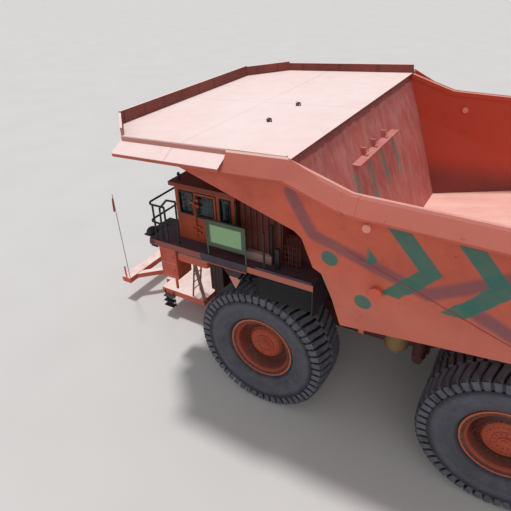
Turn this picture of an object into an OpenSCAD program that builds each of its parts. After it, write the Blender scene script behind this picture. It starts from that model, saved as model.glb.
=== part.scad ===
// Rigid mining dump truck, empty, bed down.
// +X is the driving direction, +Y the cab side, +Z up, and the ground is z = 0.
// Places along the truck are measured ahead of the front axle, and move to the frame at the end.

/* [Overall] */
// Front axle to rear axle
wheelbase = 6350; // [6200:10:6500]
// Front axle to the front face of the bumper bar
front_overhang = 7400; // [7300:10:7600]
// Rear axle to the tail of the bed
tail_overhang = 4600; // [4400:10:4900]

/* [Tyres and rims] */
// Outer radius of a tyre, to the tips of its lugs
tyre_r = 1965; // [1900:5:1990]
// Width of a tyre
tyre_w = 1300; // [1240:10:1340]
// Depth of the tread lugs
lug_depth = 95; // [60:5:120]
// Lugs round a tyre
lug_count = 24; // [16:1:26]
// Share of the tread that is lug, not groove
lug_share = 0.74; // [0.6:0.01:0.85]
// Radius of the rim flange
rim_flange_r = 965; // [920:5:990]
// Radius of the rim barrel under the tyre
rim_barrel_r = 800; // [760:5:840]
// Thickness of the rim plate
rim_wall = 60; // [40:5:80]
// Centre of a front wheel from the middle of the truck
front_wheel_y = 3020; // [2980:10:3060]
// Centre of an outer rear wheel from the middle of the truck
rear_outer_y = 3180; // [3150:10:3220]
// Centre of an inner rear wheel from the middle of the truck
rear_inner_y = 1760; // [1740:10:1800]

/* [Frame] */
// Inner face of a frame rail from the middle
rail_in_y = 500; // [460:10:540]
// Outer face of a frame rail from the middle
rail_out_y = 880; // [840:10:900]
// Top of the frame over the rear axle
frame_top = 3350; // [3300:10:3400]
// Steering axis from the middle
kingpin_y = 1950; // [1900:10:2000]
// Radius of the wheel spindle
spindle_r = 190; // [160:5:220]
// Radius of the outer tube of a front strut
strut_r = 230; // [200:5:260]
// Radius of the piston of a front strut
piston_r = 175; // [150:5:190]

/* [Deck] */
// Top of the deck
deck_top = 4800; // [4750:10:4850]
// Half width of the deck
deck_half_w = 3750; // [3700:10:3780]
// Front edge of the deck ahead of the front axle
deck_front = 3400; // [3350:10:3450]
// Rear edge of the deck ahead of the front axle
deck_rear = -1650; // [-1700:10:-1500]
// Thickness of the deck plate
deck_plate = 40; // [30:5:60]
// Depth of the beams along the deck's edges
deck_beam = 180; // [140:10:220]
// Height of the handrails above the deck
rail_height = 1060; // [1000:10:1150]
// Diameter of the handrail tube
tube_d = 56; // [40:2:64]
// Diameter of the guard cables along the walkway
cable_d = 16; // [12:1:20]

/* [Cab] */
// Length of the cab
cab_len = 1900; // [1850:10:2000]
// Front of the cab ahead of the front axle
cab_front = 2680; // [2600:10:2750]
// Outer wall of the cab from the middle
cab_out_y = 3260; // [3200:10:3300]
// Inner wall of the cab from the middle
cab_in_y = 1380; // [1300:10:1450]
// Height of the cab walls above the deck
cab_h = 1560; // [1500:10:1650]
// Thickness of the cab walls
cab_wall = 80; // [60:5:100]
// Thickness of the cab roof
roof_t = 110; // [80:5:140]
// Overhang of the cab roof
roof_lip = 70; // [40:5:90]
// Running gap round the cab door
door_gap = 16; // [12:1:20]
// Width of the door opening
door_w = 700; // [660:10:720]

/* [Bed] */
// Thickness of the bed's plates with their stiffening
bed_wall = 100; // [80:5:120]
// Outer face of the bed's sides from the middle
bed_half_w = 4400; // [4360:10:4440]
// Inward lean of the lower side plates, in degrees
side_lean = 11; // [9:0.5:13]
// Height of the bed's top edge behind the bend
bed_top = 7600; // [7550:10:7700]
// Height of the canopy floor at the front lip
canopy_front_z = 7786; // [7760:2:7820]
// Height of the canopy floor where it meets the bed
canopy_rear_z = 8030; // [8000:5:8060]
// Front lip ahead of the front axle
canopy_front = 4316; // [4280:2:4350]
// Height of the front lip
lip_h = 330; // [280:10:360]
// Height of the curbs along the canopy's right side
curb_h = 260; // [200:10:300]
// Height of the low curb on the canopy's left side
low_curb_h = 130; // [100:10:180]
// Width of the sloping wing plates beside the canopy
wing_w = 430; // [380:10:470]
// Height of the bed hinge
hinge_z = 3250; // [3220:5:3280]
// Bed hinge behind the rear axle
hinge_back = 1650; // [1600:10:1700]
// Radius of the bed hinge pin
hinge_pin_r = 80; // [70:1:90]
// Radial clearance of turning fits
running_fit = 0.08; // [0.02:0.01:0.1]

/* [Bumper] */
// Top of the bumper platform
bumper_top = 1100; // [1080:5:1150]
// Half width of the bumper platform
bumper_half_w = 1545; // [1500:5:1580]
// Front of the bumper platform ahead of the front axle
bumper_front = 5410; // [5350:10:5480]
// Depth of the bumper beams
bumper_beam = 220; // [180:10:260]
// Radius of the hole in a tow eye
tow_r = 45; // [40:1:50]
// Thickness of a tow eye
tow_t = 80; // [60:5:100]
// Tow eye from the middle
tow_y = 1000; // [800:10:1200]

/* [Hidden] */
$fn = 48;

front_axle_x = (wheelbase + tail_overhang - front_overhang) / 2;
rear_axle = -wheelbase;
tail = -wheelbase - tail_overhang;
axle_z = tyre_r;
salmon = "salmon";
dark = "dimgray";

// Bed lines, as x ahead of the front axle and height
bed_slope = 0.2;
floor_front = -2600;
floor_front_z = 4250;
floor_t = 120;
headboard_x = -1230;
fold_front = [1520, 7850];
fold_slope = 0.352;
rail_bend = -2660;
canopy_bend = -1080;
canopy_chamfer = [3162, 4343];
lip_half_w = 3204;
function floor_top(x) = floor_front_z + (floor_front - x) * bed_slope;
function fold_z(x) = fold_front.y + (x - fold_front.x) * fold_slope;
function floor_under(x) = floor_top(x) - floor_t;
// where the fold meets the lower edge of the side
fold_rear_x = (floor_under(0) - fold_z(0)) / (fold_slope + bed_slope);
fold_rear = [fold_rear_x, fold_z(fold_rear_x)];
canopy_plate = 60;
canopy_back = -70;
// gap between pieces that stand against each other
slip = 0.3;
canopy_tilt = atan((canopy_rear_z - canopy_front_z) / (canopy_front - canopy_bend));
function canopy_z(x) = canopy_front_z + (canopy_front - x) * tan(canopy_tilt);

// Hoist lines: foot pin on the frame, head pin under the bed, bed hinge
hoist_gap = 505;
hoist_foot = [rear_axle + tyre_r + hoist_gap, 1600];
hoist_head = [hoist_foot.x + 100, 3900];
hoist_y = 1290;
hoist_pin_r = 70;
hinge_x = rear_axle - hinge_back;

// Helpers
module place() translate([front_axle_x, 0, 0]) children();
module both_sides() {
    children();
    mirror([0, 1, 0]) children();
}
module block(low, high) translate(low) cube(high - low);
module profile(y0, y1) translate([0, y1, 0]) rotate([90, 0, 0]) linear_extrude(y1 - y0) children();
module tube(a, b, d) {
    v = b - a;
    length = norm(v);
    translate(a)
        rotate([0, acos(v.z / length), atan2(v.y, v.x)])
        cylinder(h = length, d = d, $fn = 16);
}
// How far the axis of a leaning tube starts above the plate its square end stands on
function lift(lean, d) = d / 2 * abs(lean.x) / norm(lean) + slip;
// Straight run along the truck of a section given as [y, z] points, from a to b as [x, z]
module run(a, b, section) {
    d = a - b;
    translate([b.x, 0, b.y])
        rotate([0, -atan2(d.y, d.x), 0])
        rotate([90, 0, 90])
        linear_extrude(norm(d))
        polygon(section);
}

// Frame
module frame() {
    rail_line = [[3500, 820], [3500, 1440], [2900, 1440], [1300, 2150], [-3500, 2300], [-4500, frame_top],
        [hinge_x - 60, frame_top], [hinge_x - 60, 2900], [-5000, 2880], [-4200, 1700], [-3200, 1400],
        [1000, 1350], [2500, 820]];
    // cross members: x ahead, bottom, top
    cross_members = [[2700, 1000, 1300], [1500, 1850, 2350], [-700, 1950, 2350], [-3900, 1500, 2200],
        [-4700, 2950, 3300], [hinge_x + 500, 2900, 3300]];
    collar = 260;
    seat_y = kingpin_y - strut_r + 100;
    color(salmon) difference() {
        union() {
            both_sides() profile(rail_in_y, rail_out_y) polygon(rail_line);
            for (m = cross_members)
                block([m[0] - 150, slip - rail_in_y, m[1]], [m[0] + 150, rail_in_y - slip, m[2]]);
            both_sides() {
                // horse collar that carries the front struts
                block([-collar, rail_out_y + slip, 1500], [collar, 1500, 2150]);
                block([-collar, 1150, 2140], [collar, 1500, 3900]);
                block([-collar, 1490, 2500], [collar, seat_y, 3900]);
                block([-collar, -1, 3500], [collar, 1160, 3900]);
                // deck posts
                block([-1450, rail_out_y + slip, 1900], [-1250, rail_out_y + 120, deck_top - deck_beam]);
                // hoist foot brackets and pins
                block([hoist_foot.x - 220, rail_out_y + slip, hoist_foot.y - 50],
                    [hoist_foot.x + 220, hoist_y - 215, hoist_foot.y + 320]);
                translate([hoist_foot.x, hoist_y - 225, hoist_foot.y]) rotate([-90, 0, 0])
                    cylinder(r = hoist_pin_r, h = 415);
                // bed hinge bosses and pins
                translate([hinge_x, rail_in_y, hinge_z]) rotate([-90, 0, 0])
                    cylinder(r = 200, h = rail_out_y - rail_in_y);
                translate([hinge_x, rail_out_y - 10, hinge_z]) rotate([-90, 0, 0])
                    cylinder(r = hinge_pin_r, h = 160);
            }
        }
        both_sides() translate([0, kingpin_y, 2000]) cylinder(r = strut_r + 0.3, h = 2000);
    }
}

// Bumper platform, with its bar held out in front
module front_bumper() {
    bar_back = front_overhang - 400;
    bar_top = bumper_top - 120;
    color(salmon) {
        difference() {
            union() {
                block([3510, -bumper_half_w, bumper_top - bumper_beam],
                    [bumper_front, bumper_half_w, bumper_top]);
                block([3500, -rail_out_y, 830], [3700, rail_out_y, bumper_top]);
                block([bumper_front - 10, -260, bar_top - bumper_beam], [6150, 260, bar_top]);
                block([bar_back, -1600, bar_top - bumper_beam], [front_overhang, 1600, bar_top]);
                both_sides() translate([5950, 40, bar_top - bumper_beam]) rotate([0, 0, 44])
                    block([0, -110, 15], [1550, 110, bumper_beam - 15]);
            }
            // open underside of the platform between its beams
            block([3800, -bumper_half_w + 150, bumper_top - bumper_beam - 1],
                [bumper_front - 180, bumper_half_w - 150, bumper_top - 30]);
        }
        // tow eyes on the platform's front face
        both_sides() difference() {
            block([bumper_front - 10, tow_y - tow_t / 2, bumper_top - 210],
                [bumper_front + 220, tow_y + tow_t / 2, bumper_top - 10]);
            translate([bumper_front + 120, tow_y - tow_t, bumper_top - 110]) rotate([-90, 0, 0])
                cylinder(r = tow_r, h = 2 * tow_t);
        }
        both_sides() tube([7240, 1540, bar_top - 20], [7240, 1540, bar_top + 480], 60);
    }
}

// Ladders hung from the bumper, and from the bumper up to the deck
module boarding_ladders() {
    rungs = 11;
    ladder_d = 60;
    out_y = bumper_half_w - 65;
    in_y = out_y - 420;
    head = [deck_front + 60, deck_top + 40];
    foot = [4020, bumper_top + lift([head.x - 4020, head.y - bumper_top], ladder_d)];
    function on_ladder(t) = foot + (head - foot) * t;
    color(dark) both_sides() {
        for (y = [in_y, out_y]) {
            tube([foot.x, y, foot.y], [head.x, y, head.y], ladder_d);
            tube([deck_front + 0.3, y, deck_top - 60], [head.x + 10, y, deck_top - 60], 50);
        }
        for (i = [1:rungs])
            let (p = on_ladder(i / (rungs + 1)))
            tube([p.x, in_y, p.y], [p.x, out_y, p.y], 36);
        for (x = [4880, 5280])
            tube([x, bumper_half_w + 22, bumper_top - 60], [x - 60, bumper_half_w + 22, 420], 36);
        for (i = [0:2])
            block([4830 - i * 18, bumper_half_w + 0.3, 430 + i * 210],
                [5260 - i * 10, bumper_half_w + 180, 460 + i * 210]);
    }
}

// Deck plates, edge beams and fenders
module deck() {
    color(dark) difference() {
        union() {
            block([deck_rear, -deck_half_w, deck_top - deck_plate], [deck_front, deck_half_w, deck_top]);
            both_sides() {
                block([deck_rear, deck_half_w - 80, deck_top - deck_beam],
                    [deck_front, deck_half_w, deck_top - 1]);
                block([deck_rear, 1750, deck_top - deck_beam], [deck_front, 1830, deck_top - 1]);
                block([deck_rear, rail_out_y - 20, deck_top - deck_beam],
                    [deck_rear + 300, deck_half_w - 10, deck_top - 1]);
                // fender face and hanging mud flap behind the front wheel
                block([deck_rear, 2350, 3870], [deck_rear + 30, deck_half_w, deck_top - 1]);
                // gusset under the walkway
                profile(deck_half_w, deck_half_w + 30)
                    polygon([[950, deck_top - deck_beam], [300, deck_top - deck_beam], [560, 4180]]);
                profile(deck_half_w - 20, deck_half_w + 20)
                    polygon([[950, deck_top - 20], [300, deck_top - 20], [300, deck_top - deck_beam],
                        [950, deck_top - deck_beam]]);
            }
            for (x = [deck_front - 100, 2000, 300])
                block([x, -deck_half_w + 10, deck_top - deck_beam],
                    [x + 100, deck_half_w - 10, deck_top - 1]);
        }
        // engine well
        block([-1300, -1100, deck_top - deck_beam - 1], [280, 1100, deck_top + 1]);
    }
}

// Handrails round the deck
module handrails() {
    top = deck_top + rail_height;
    mid = deck_top + rail_height / 2;
    front = deck_front - 60;
    side = deck_half_w - 60;
    corner = 180;
    color("black") {
        for (z = [top, mid]) {
            tube([front, -side + corner, z], [front, side - corner, z], tube_d);
            both_sides() {
                translate([front - corner, side - corner, z]) rotate_extrude(angle = 90)
                    translate([corner, 0]) circle(d = tube_d, $fn = 16);
                tube([front - corner, side, z], [2760, side, z], tube_d);
            }
            tube([1380, side, z], [-300, side, z], cable_d);
            tube([2160, -side, z], [-300, -side, z], tube_d);
        }
        // posts, as x and side
        for (p = [[front - corner, side], [2760, side], [1380, side], [-300, side],
                [front - corner, -side], [2760, -side], [2160, -side], [900, -side], [-300, -side]])
            tube([p[0], p[1], deck_top + 0.3], [p[0], p[1], top], tube_d);
        for (y = [-2400, -800, 800, 2400])
            tube([front, y, deck_top + 0.3], [front, y, top], tube_d);
    }
}

// Cab
cab_back = cab_front - cab_len;
cab_eave = deck_top + cab_h;
window_low = 760;
window_high = 1440;
door_front = 2040;
door_back = door_front - door_w;
door_low = 60;
pane_t = 12;
hinge_rod_r = 20;
hinge_rod_y = cab_out_y + 55;
hinge_eyes = [deck_top + 360, deck_top + 1160];
// side windows of the outer wall, as rear x, front x, low and high above the deck
outer_windows = [[2130, cab_front - 140, 800, 1440], [cab_back + 130, 1230, 800, 1440]];
module cab_openings(y0, y1) {
    for (w = outer_windows) block([w[0], y0, deck_top + w[2]], [w[1], y1, deck_top + w[3]]);
}
module cab_walls() {
    color(salmon) difference() {
        block([cab_back, cab_in_y, deck_top], [cab_front, cab_out_y, cab_eave]);
        block([cab_back + cab_wall, cab_in_y + cab_wall, deck_top + 40],
            [cab_front - cab_wall, cab_out_y - cab_wall, cab_eave + 1]);
        cab_openings(cab_out_y - cab_wall - 1, cab_out_y + 1);
        block([door_back, cab_out_y - cab_wall - 1, deck_top + door_low],
            [door_front, cab_out_y + 1, deck_top + window_high + 40]);
        block([cab_back + 250, cab_in_y - 1, deck_top + window_low],
            [cab_front - 250, cab_in_y + cab_wall + 1, deck_top + window_high]);
        block([cab_front - cab_wall - 1, cab_in_y + 140, deck_top + window_low],
            [cab_front + 1, cab_out_y - 140, deck_top + window_high]);
        block([cab_back - 1, cab_in_y + 400, deck_top + 900],
            [cab_back + cab_wall + 1, cab_out_y - 400, deck_top + window_high]);
    }
    // eyes that hold the door's hinge rod
    color(salmon) for (z = hinge_eyes) difference() {
        union() {
            translate([door_front - door_gap, hinge_rod_y, z]) cylinder(r = 2 * hinge_rod_r, h = 60);
            block([door_front - door_gap, cab_out_y - 5, z], [door_front + 110, hinge_rod_y + 20, z + 60]);
        }
        translate([door_front - door_gap, hinge_rod_y, z - 1])
            cylinder(r = hinge_rod_r + running_fit, h = 62);
    }
}
module cab_roof() {
    color(salmon) {
        block([cab_back - roof_lip, cab_in_y - roof_lip, cab_eave],
            [cab_front + 2 * roof_lip, cab_out_y + roof_lip, cab_eave + roof_t]);
        block([1300, 1900, cab_eave + roof_t], [2100, 2700, cab_eave + roof_t + 130]);
    }
}
module cab_glass() {
    mid = cab_wall / 2;
    color("darkslategray") {
        for (w = outer_windows)
            block([w[0] + slip, cab_out_y - mid, deck_top + w[2] + slip],
                [w[1] - slip, cab_out_y - mid + pane_t, deck_top + w[3] - slip]);
        block([cab_back + 250 + slip, cab_in_y + mid, deck_top + window_low + slip],
            [cab_front - 250 - slip, cab_in_y + mid + pane_t, deck_top + window_high - slip]);
        block([cab_front - mid, cab_in_y + 140 + slip, deck_top + window_low + slip],
            [cab_front - mid + pane_t, cab_out_y - 140 - slip, deck_top + window_high - slip]);
        block([cab_back + mid, cab_in_y + 400 + slip, deck_top + 900 + slip],
            [cab_back + mid + pane_t, cab_out_y - 400 - slip, deck_top + window_high - slip]);
    }
}
module cab_door() {
    color(salmon) difference() {
        union() {
            block([door_back + door_gap, cab_out_y - cab_wall + 10, deck_top + door_low + door_gap],
                [door_front - door_gap, cab_out_y + 10, deck_top + window_high + 40 - door_gap]);
            translate([door_front - door_gap, hinge_rod_y, deck_top + 220])
                cylinder(r = hinge_rod_r, h = 1080);
            // straps from the rod to the door
            for (z = hinge_eyes, above = [-90, 80])
                block([door_front - 160, cab_out_y + 5, z + above],
                    [door_front - door_gap, hinge_rod_y, z + above + 70]);
        }
        block([door_back + 110, cab_out_y - cab_wall, deck_top + 800],
            [door_front - 100, cab_out_y + 11, deck_top + window_high - 40]);
    }
    color("black") block([door_back + 50, cab_out_y + 10, deck_top + 640],
        [door_back + 90, cab_out_y + 60, deck_top + 860]);
}
module cab_door_glass() {
    color("darkslategray")
        block([door_back + 110 + slip, cab_out_y - 40, deck_top + 800 + slip],
            [door_front - 100 - slip, cab_out_y - 28, deck_top + window_high - 40 - slip]);
}
module cab_seat() {
    seat_x = cab_front - 1030;
    seat_y = cab_out_y - 810;
    floor_z = deck_top + 40;
    color("black") {
        translate([seat_x, seat_y, floor_z + 0.3]) cylinder(r = 130, h = 300);
        block([seat_x - 260, seat_y - 260, floor_z + 300], [seat_x + 260, seat_y + 260, floor_z + 440]);
        block([seat_x - 300, seat_y - 250, floor_z + 430], [seat_x - 170, seat_y + 250, floor_z + 1050]);
    }
}
module cab_console() {
    wheel_x = cab_front - 500;
    wheel_y = cab_out_y - 810;
    floor_z = deck_top + 40;
    color("black") {
        block([cab_front - 350, cab_in_y + 320, floor_z + slip], [cab_front - 120, cab_out_y - 260, floor_z + 640]);
        tube([wheel_x + 180, wheel_y, floor_z + 560], [wheel_x, wheel_y, floor_z + 720], 60);
        translate([wheel_x, wheel_y, floor_z + 720]) rotate([0, -48, 0]) {
            rotate_extrude() translate([210, 0]) circle(r = 16, $fn = 16);
            for (a = [0:120:240]) rotate([0, 0, a]) tube([0, 0, 0], [210, 0, 0], 24);
        }
    }
}

// Power pack
module engine_block() {
    color(dark) block([-1150, -450, 2350], [1900, 450, 3450]);
}
module radiator() {
    front = deck_front - 80;
    back = front - 520;
    half = 1250;
    low = 1520;
    high = deck_top - deck_beam;
    slats = 14;
    color(dark) difference() {
        block([back, -half, low], [front, half, high]);
        block([front - 120, -half + 90, low + 120], [front + 1, half - 90, high - 120]);
    }
    color(salmon) {
        for (i = [1:slats - 1])
            block([front - 110, -half + 80, low + 120 + (high - low - 240) * i / slats - 22],
                [front - 70, half - 80, low + 120 + (high - low - 240) * i / slats + 22]);
        for (y = [-600, 0, 600])
            block([front - 121, y - 30, low + 110], [front - 20, y + 30, high - 110]);
    }
    // mounting feet on the frame
    both_sides() color(dark) block([back + 120, rail_in_y + 40, 1440], [front - 60, rail_out_y - 40, low + 10]);
}
module control_cabinet() {
    ribs = 7;
    low = deck_top;
    color(salmon) {
        block([-560, 1300, low], [650, 3200, low + 1700]);
        for (i = [0:ribs - 1])
            block([-520 + i * 170, 3190, low + 120], [-460 + i * 170, 3240, low + 1600]);
        block([-1300, 1300, low], [-570, 2900, low + 700]);
    }
}
module grid_box() {
    low = deck_top;
    bars = 9;
    color(salmon) mirror([0, 1, 0]) {
        difference() {
            block([-900, 1300, low], [2300, 3100, low + 1550]);
            for (x = [-780, 280, 1340])
                block([x, 3000, low + 250], [x + 860, 3101, low + 1350]);
        }
        for (x = [-780, 280, 1340], i = [1:bars])
            block([x - 10, 3030, low + 250 + 1100 * i / (bars + 1) - 18],
                [x + 870, 3060, low + 250 + 1100 * i / (bars + 1) + 18]);
    }
}

// Boxes that hang under the deck's front corners
module corner_boxes() {
    low = 2980;
    high = deck_top - deck_beam;
    color(salmon) both_sides() difference() {
        union() {
            block([3200, 2350, low], [3820, 3000, 4080]);
            block([3230, 2420, 4070], [deck_front - 10, 2940, high]);
            block([3300, 2930, low - 380], [3360, 2990, low + 10]);
        }
        block([3190, 2992, 3560], [3830, 3010, 3575]);
    }
}

// Fuel tank on arms outside the right hoist, and the round receiver outside the left one
module tanks() {
    back = rear_axle + tyre_r + 265;
    front = back + 1430;
    low = 1150;
    top = 2000;
    in_y = 1560;
    out_y = 2260;
    receiver = [back + 770, 1930];
    receiver_r = 320;
    color(salmon) mirror([0, 1, 0]) {
        profile(in_y, out_y) polygon([[back, low + 150], [back + 150, low], [front - 150, low],
            [front, low + 150], [front, top - 100], [front - 100, top], [back + 100, top], [back, top - 100]]);
        for (x = [back + 570, front - 160])
            block([x, rail_out_y, 1720], [x + 100, in_y + 10, 1880]);
    }
    color("goldenrod") {
        block([receiver.x - 60, rail_out_y, top + 40], [receiver.x + 60, receiver.y + 60, top + 160]);
        translate([receiver.x, receiver.y, top + 300]) rotate_extrude() polygon([[0, -160], [120, -150],
            [230, -90], [receiver_r, 40], [receiver_r, 560], [230, 680], [0, 720]]);
    }
}

// Rear axle housing with its wheel motors
motor_r = 430;
rear_spindle_r = 200;
module rear_axle() {
    color(salmon) translate([rear_axle, 0, axle_z]) {
        rotate([-90, 0, 0]) {
            translate([0, 0, -700]) cylinder(r = 760, h = 1400);
            for (s = [-1, 1]) {
                translate([0, 0, s > 0 ? 690 : -1100]) cylinder(r = 640, h = 410);
                translate([0, 0, s > 0 ? 1090 : -3100]) cylinder(r = motor_r, h = 2010);
                translate([0, 0, s > 0 ? 3090 : -3290]) cylinder(r = rear_spindle_r, h = 200);
            }
        }
        // nose to the cross member and rear strut seats
        block([600, -300, -300], [2300, 300, 200]);
        block([-1250, -420, 100], [-600, 420, 500]);
    }
}

// Suspension struts between wheels and frame
module struts() {
    color("silver") both_sides() {
        translate([0, kingpin_y, 2350]) difference() {
            cylinder(r = strut_r, h = 1600);
            translate([0, 0, -1]) cylinder(r = piston_r + running_fit, h = 1000);
        }
        tube([rear_axle - 1150, 300, axle_z + 500.3], [rear_axle - 1150, 300, 2900 - 0.3], 240);
    }
}

// Lamps with visors under the front corners of the deck
module headlamps() {
    low = deck_top - deck_beam;
    color(dark) both_sides() {
        block([deck_front + 0.3, 2500, low - 260], [deck_front + 220, 3500, low + 120]);
        for (y = [2650, 2900, 3150, 3380])
            translate([deck_front + 220, y, low - 80]) rotate([0, 90, 0]) cylinder(r = 95, h = 30);
        block([deck_front + 0.3, 2450, low + 120], [deck_front + 330, 3600, low + 160]);
    }
}

whip_d = 26;
whip_tip = [6640, 1960, 4750];
whip_foot = [7100, 1500, bumper_top - 120 + lift([650, whip_tip.z - bumper_top], whip_d)];
module whip_pole() {
    color("white") tube(whip_foot, whip_tip, whip_d);
}
module whip_flag() {
    size = [170, 12, 480];
    top = whip_tip + (whip_foot - whip_tip) * 0.03;
    color("orange") difference() {
        translate(top) rotate([0, 0, 120]) translate([0, -size.y / 2, -size.z]) cube(size);
        tube(whip_foot, whip_tip + (whip_tip - whip_foot) * 0.1, whip_d + 2 * slip);
    }
}

// Bed
// Frame of the lower side plate: x along the fold, z up the plate, y = 0 on its outer face
fold_turn = atan(fold_slope);
module in_fold_frame() {
    translate([fold_front.x, bed_half_w, fold_front.y])
        rotate([0, -fold_turn, 0])
        rotate([-side_lean, 0, 0])
        children();
}
function in_fold(p) = let (d = p - fold_front)
    [d.x * cos(fold_turn) + d.y * sin(fold_turn),
        (-d.x * sin(fold_turn) + d.y * cos(fold_turn)) / cos(side_lean)];
canopy_back_x = headboard_x + canopy_back;
function canopy_under(x) = canopy_z(x) - canopy_plate / cos(canopy_tilt) - slip;
module bed_side() {
    // points of the side's front edge, below the fold
    front_edge = [[2500, 7740], [2300, 7680], [-1440, 6520], [-1610, 6370], [-1830, 5640], [-2120, 5490], [-2450, floor_under(-2450)]];
    profile(bed_half_w - bed_wall, bed_half_w) polygon([
        fold_front,
        [fold_front.x, canopy_under(fold_front.x)],
        [canopy_back_x, canopy_under(canopy_back_x)],
        [rail_bend, bed_top - 70],
        [tail, bed_top - 270],
        [tail, floor_under(tail)],
        [fold_rear.x - 60, floor_under(fold_rear.x - 60)],
        fold_rear]);
    // the lower plate's top corner is cut down, clear of the canopy
    corner = [[fold_front.x - 130, fold_z(fold_front.x - 130)], fold_front - [0, 30]];
    in_fold_frame() profile(-bed_wall, 0)
        polygon([for (p = concat(corner, front_edge, [fold_rear])) in_fold(p)]);
    rail = [[bed_half_w - bed_wall - 60, 0], [bed_half_w + 60, 0], [bed_half_w + 250, -290],
        [bed_half_w + 250, -340], [bed_half_w - 20, -420], [bed_half_w - 20, -150],
        [bed_half_w - bed_wall - 60, -120]];
    // under the canopy's edge, then down to the bend, then to the tail
    run([-120, canopy_z(-120)], [canopy_back_x - 20, canopy_z(canopy_back_x - 20)], [
        [bed_half_w - 20, -70], [bed_half_w + 60, -70], [bed_half_w + 240, -290], [bed_half_w + 240, -340],
        [bed_half_w - 20, -410]]);
    run([canopy_back_x - 32, canopy_z(canopy_back_x) - 10], [rail_bend, bed_top], rail);
    run([rail_bend + 40, bed_top], [tail + 5, bed_top - 200], rail);
}
module bed_sides() color(salmon) both_sides() bed_side();
// What lies outside the inner face of a lower side plate
module outside_fold() in_fold_frame() block([-14000, -bed_wall, -6000], [3000, 6000, 0]);
module bed_front_wall() {
    back_t = 120;
    color(salmon) difference() {
        profile(-bed_half_w + bed_wall, bed_half_w - bed_wall) polygon([
            [headboard_x, canopy_under(headboard_x)],
            [floor_front, floor_front_z],
            [floor_front + 40, floor_under(floor_front + 40)],
            [floor_front + back_t + 30, floor_under(floor_front + back_t + 30)],
            [headboard_x + back_t, canopy_under(headboard_x + back_t)]]);
        both_sides() outside_fold();
    }
}
module bed_floor() {
    color(salmon) difference() {
        profile(-bed_half_w + bed_wall, bed_half_w - bed_wall) polygon([
            [floor_front, floor_top(floor_front)],
            [tail, floor_top(tail)],
            [tail, floor_under(tail)],
            [floor_front + 40, floor_under(floor_front + 40)]]);
        both_sides() outside_fold();
    }
}
// Canopy in its own frame: x back from the front lip, z above the canopy floor
module bed_canopy() {
    back = (canopy_back_x - canopy_front) / cos(canopy_tilt);
    edge = bed_half_w + 20;
    chamfer_x = canopy_chamfer.x - canopy_front;
    chamfer_v = [chamfer_x, canopy_chamfer.y - lip_half_w];
    curb_v = [back - chamfer_x, edge - canopy_chamfer.y];
    curb_t = 60;
    plan = [[0, lip_half_w], [chamfer_x, canopy_chamfer.y], [back, edge],
        [back, -edge], [chamfer_x, -canopy_chamfer.y], [0, -lip_half_w]];
    color(salmon) translate([canopy_front, 0, canopy_front_z]) rotate([0, canopy_tilt, 0]) {
        translate([0, 0, -canopy_plate]) linear_extrude(canopy_plate) polygon(plan);
        // front lip, chamfer curbs and side curbs
        block([-curb_t, -lip_half_w + 8, -10], [0, lip_half_w - 8, lip_h]);
        for (side = [0, 1]) mirror([0, side, 0]) {
            translate([0, lip_half_w, -10]) rotate([0, 0, atan2(chamfer_v.y, chamfer_v.x)])
                block([-20, 4, 0], [norm(chamfer_v), curb_t, lip_h - 20]);
            translate([chamfer_x, canopy_chamfer.y, -10]) rotate([0, 0, atan2(curb_v.y, curb_v.x)])
                block([-20, 4, 0], [norm(curb_v), curb_t, side == 0 ? low_curb_h : curb_h]);
            // sloping wing plate
            translate([chamfer_x + 60, canopy_chamfer.y - 50, 16])
                rotate([28, 0, atan2(curb_v.y, curb_v.x)]) mirror([0, 1, 0])
                block([0, 0, -30], [3100, wing_w + 40, 0]);
        }
        // stiffeners under the canopy
        for (x = [-150, -1500, -2850])
            block([x - 140, -lip_half_w - 60, -canopy_plate - 200], [x, lip_half_w + 60, -canopy_plate + 10]);
        block([-4340, -lip_half_w - 60, -canopy_plate - 200], [-4200, lip_half_w + 60, -canopy_plate + 10]);
        // lifting lugs
        for (y = [350, 1960])
            translate([-3830, y, -5]) cylinder(r = 45, h = 90, $fn = 24);
    }
}
module rib(x, span) block([x - 60, span[0], floor_under(x) - 300], [x + 60, span[1], floor_under(x + 60) + 12]);
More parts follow.
